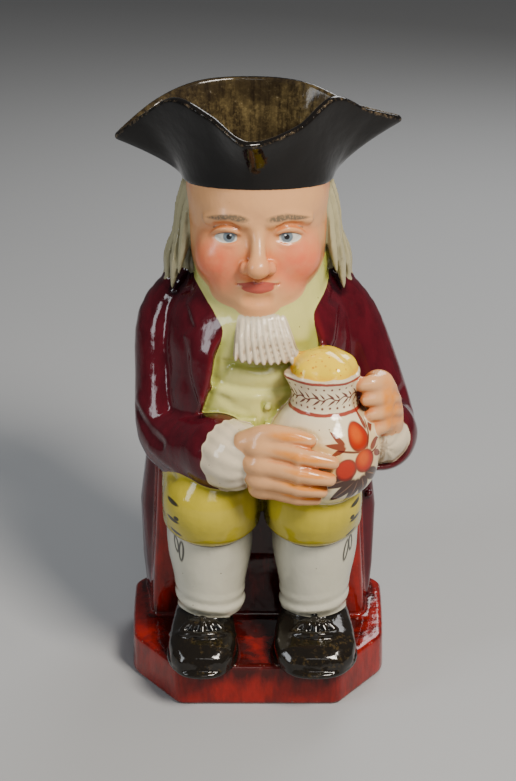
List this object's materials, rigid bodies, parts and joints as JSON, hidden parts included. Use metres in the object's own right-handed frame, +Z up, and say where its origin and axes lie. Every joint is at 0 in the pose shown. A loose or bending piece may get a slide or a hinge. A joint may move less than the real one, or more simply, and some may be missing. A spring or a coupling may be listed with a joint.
{
  "type": "toby jug",
  "caption": "Glazed earthenware figure jug: a seated man holding a small frothing jug, hollow and open at the three-cornered hat, with a loop handle behind.",
  "frame": {"origin": "middle of the plinth's flat underside, which the jug stands on", "axes": "+Z up from the plinth to the hat, the figure faces -Y, the handle is at +Y, and +X is the viewer's right when facing the figure"},
  "size_m": [0.1209, 0.1425, 0.2468],
  "materials": {
    "glaze": "clear lead glaze over painted enamel colours, mostly maroon, black and iron red"
  },
  "bodies": {
    "root": {"toby_jug": "glaze"}
  },
  "joints": []
}
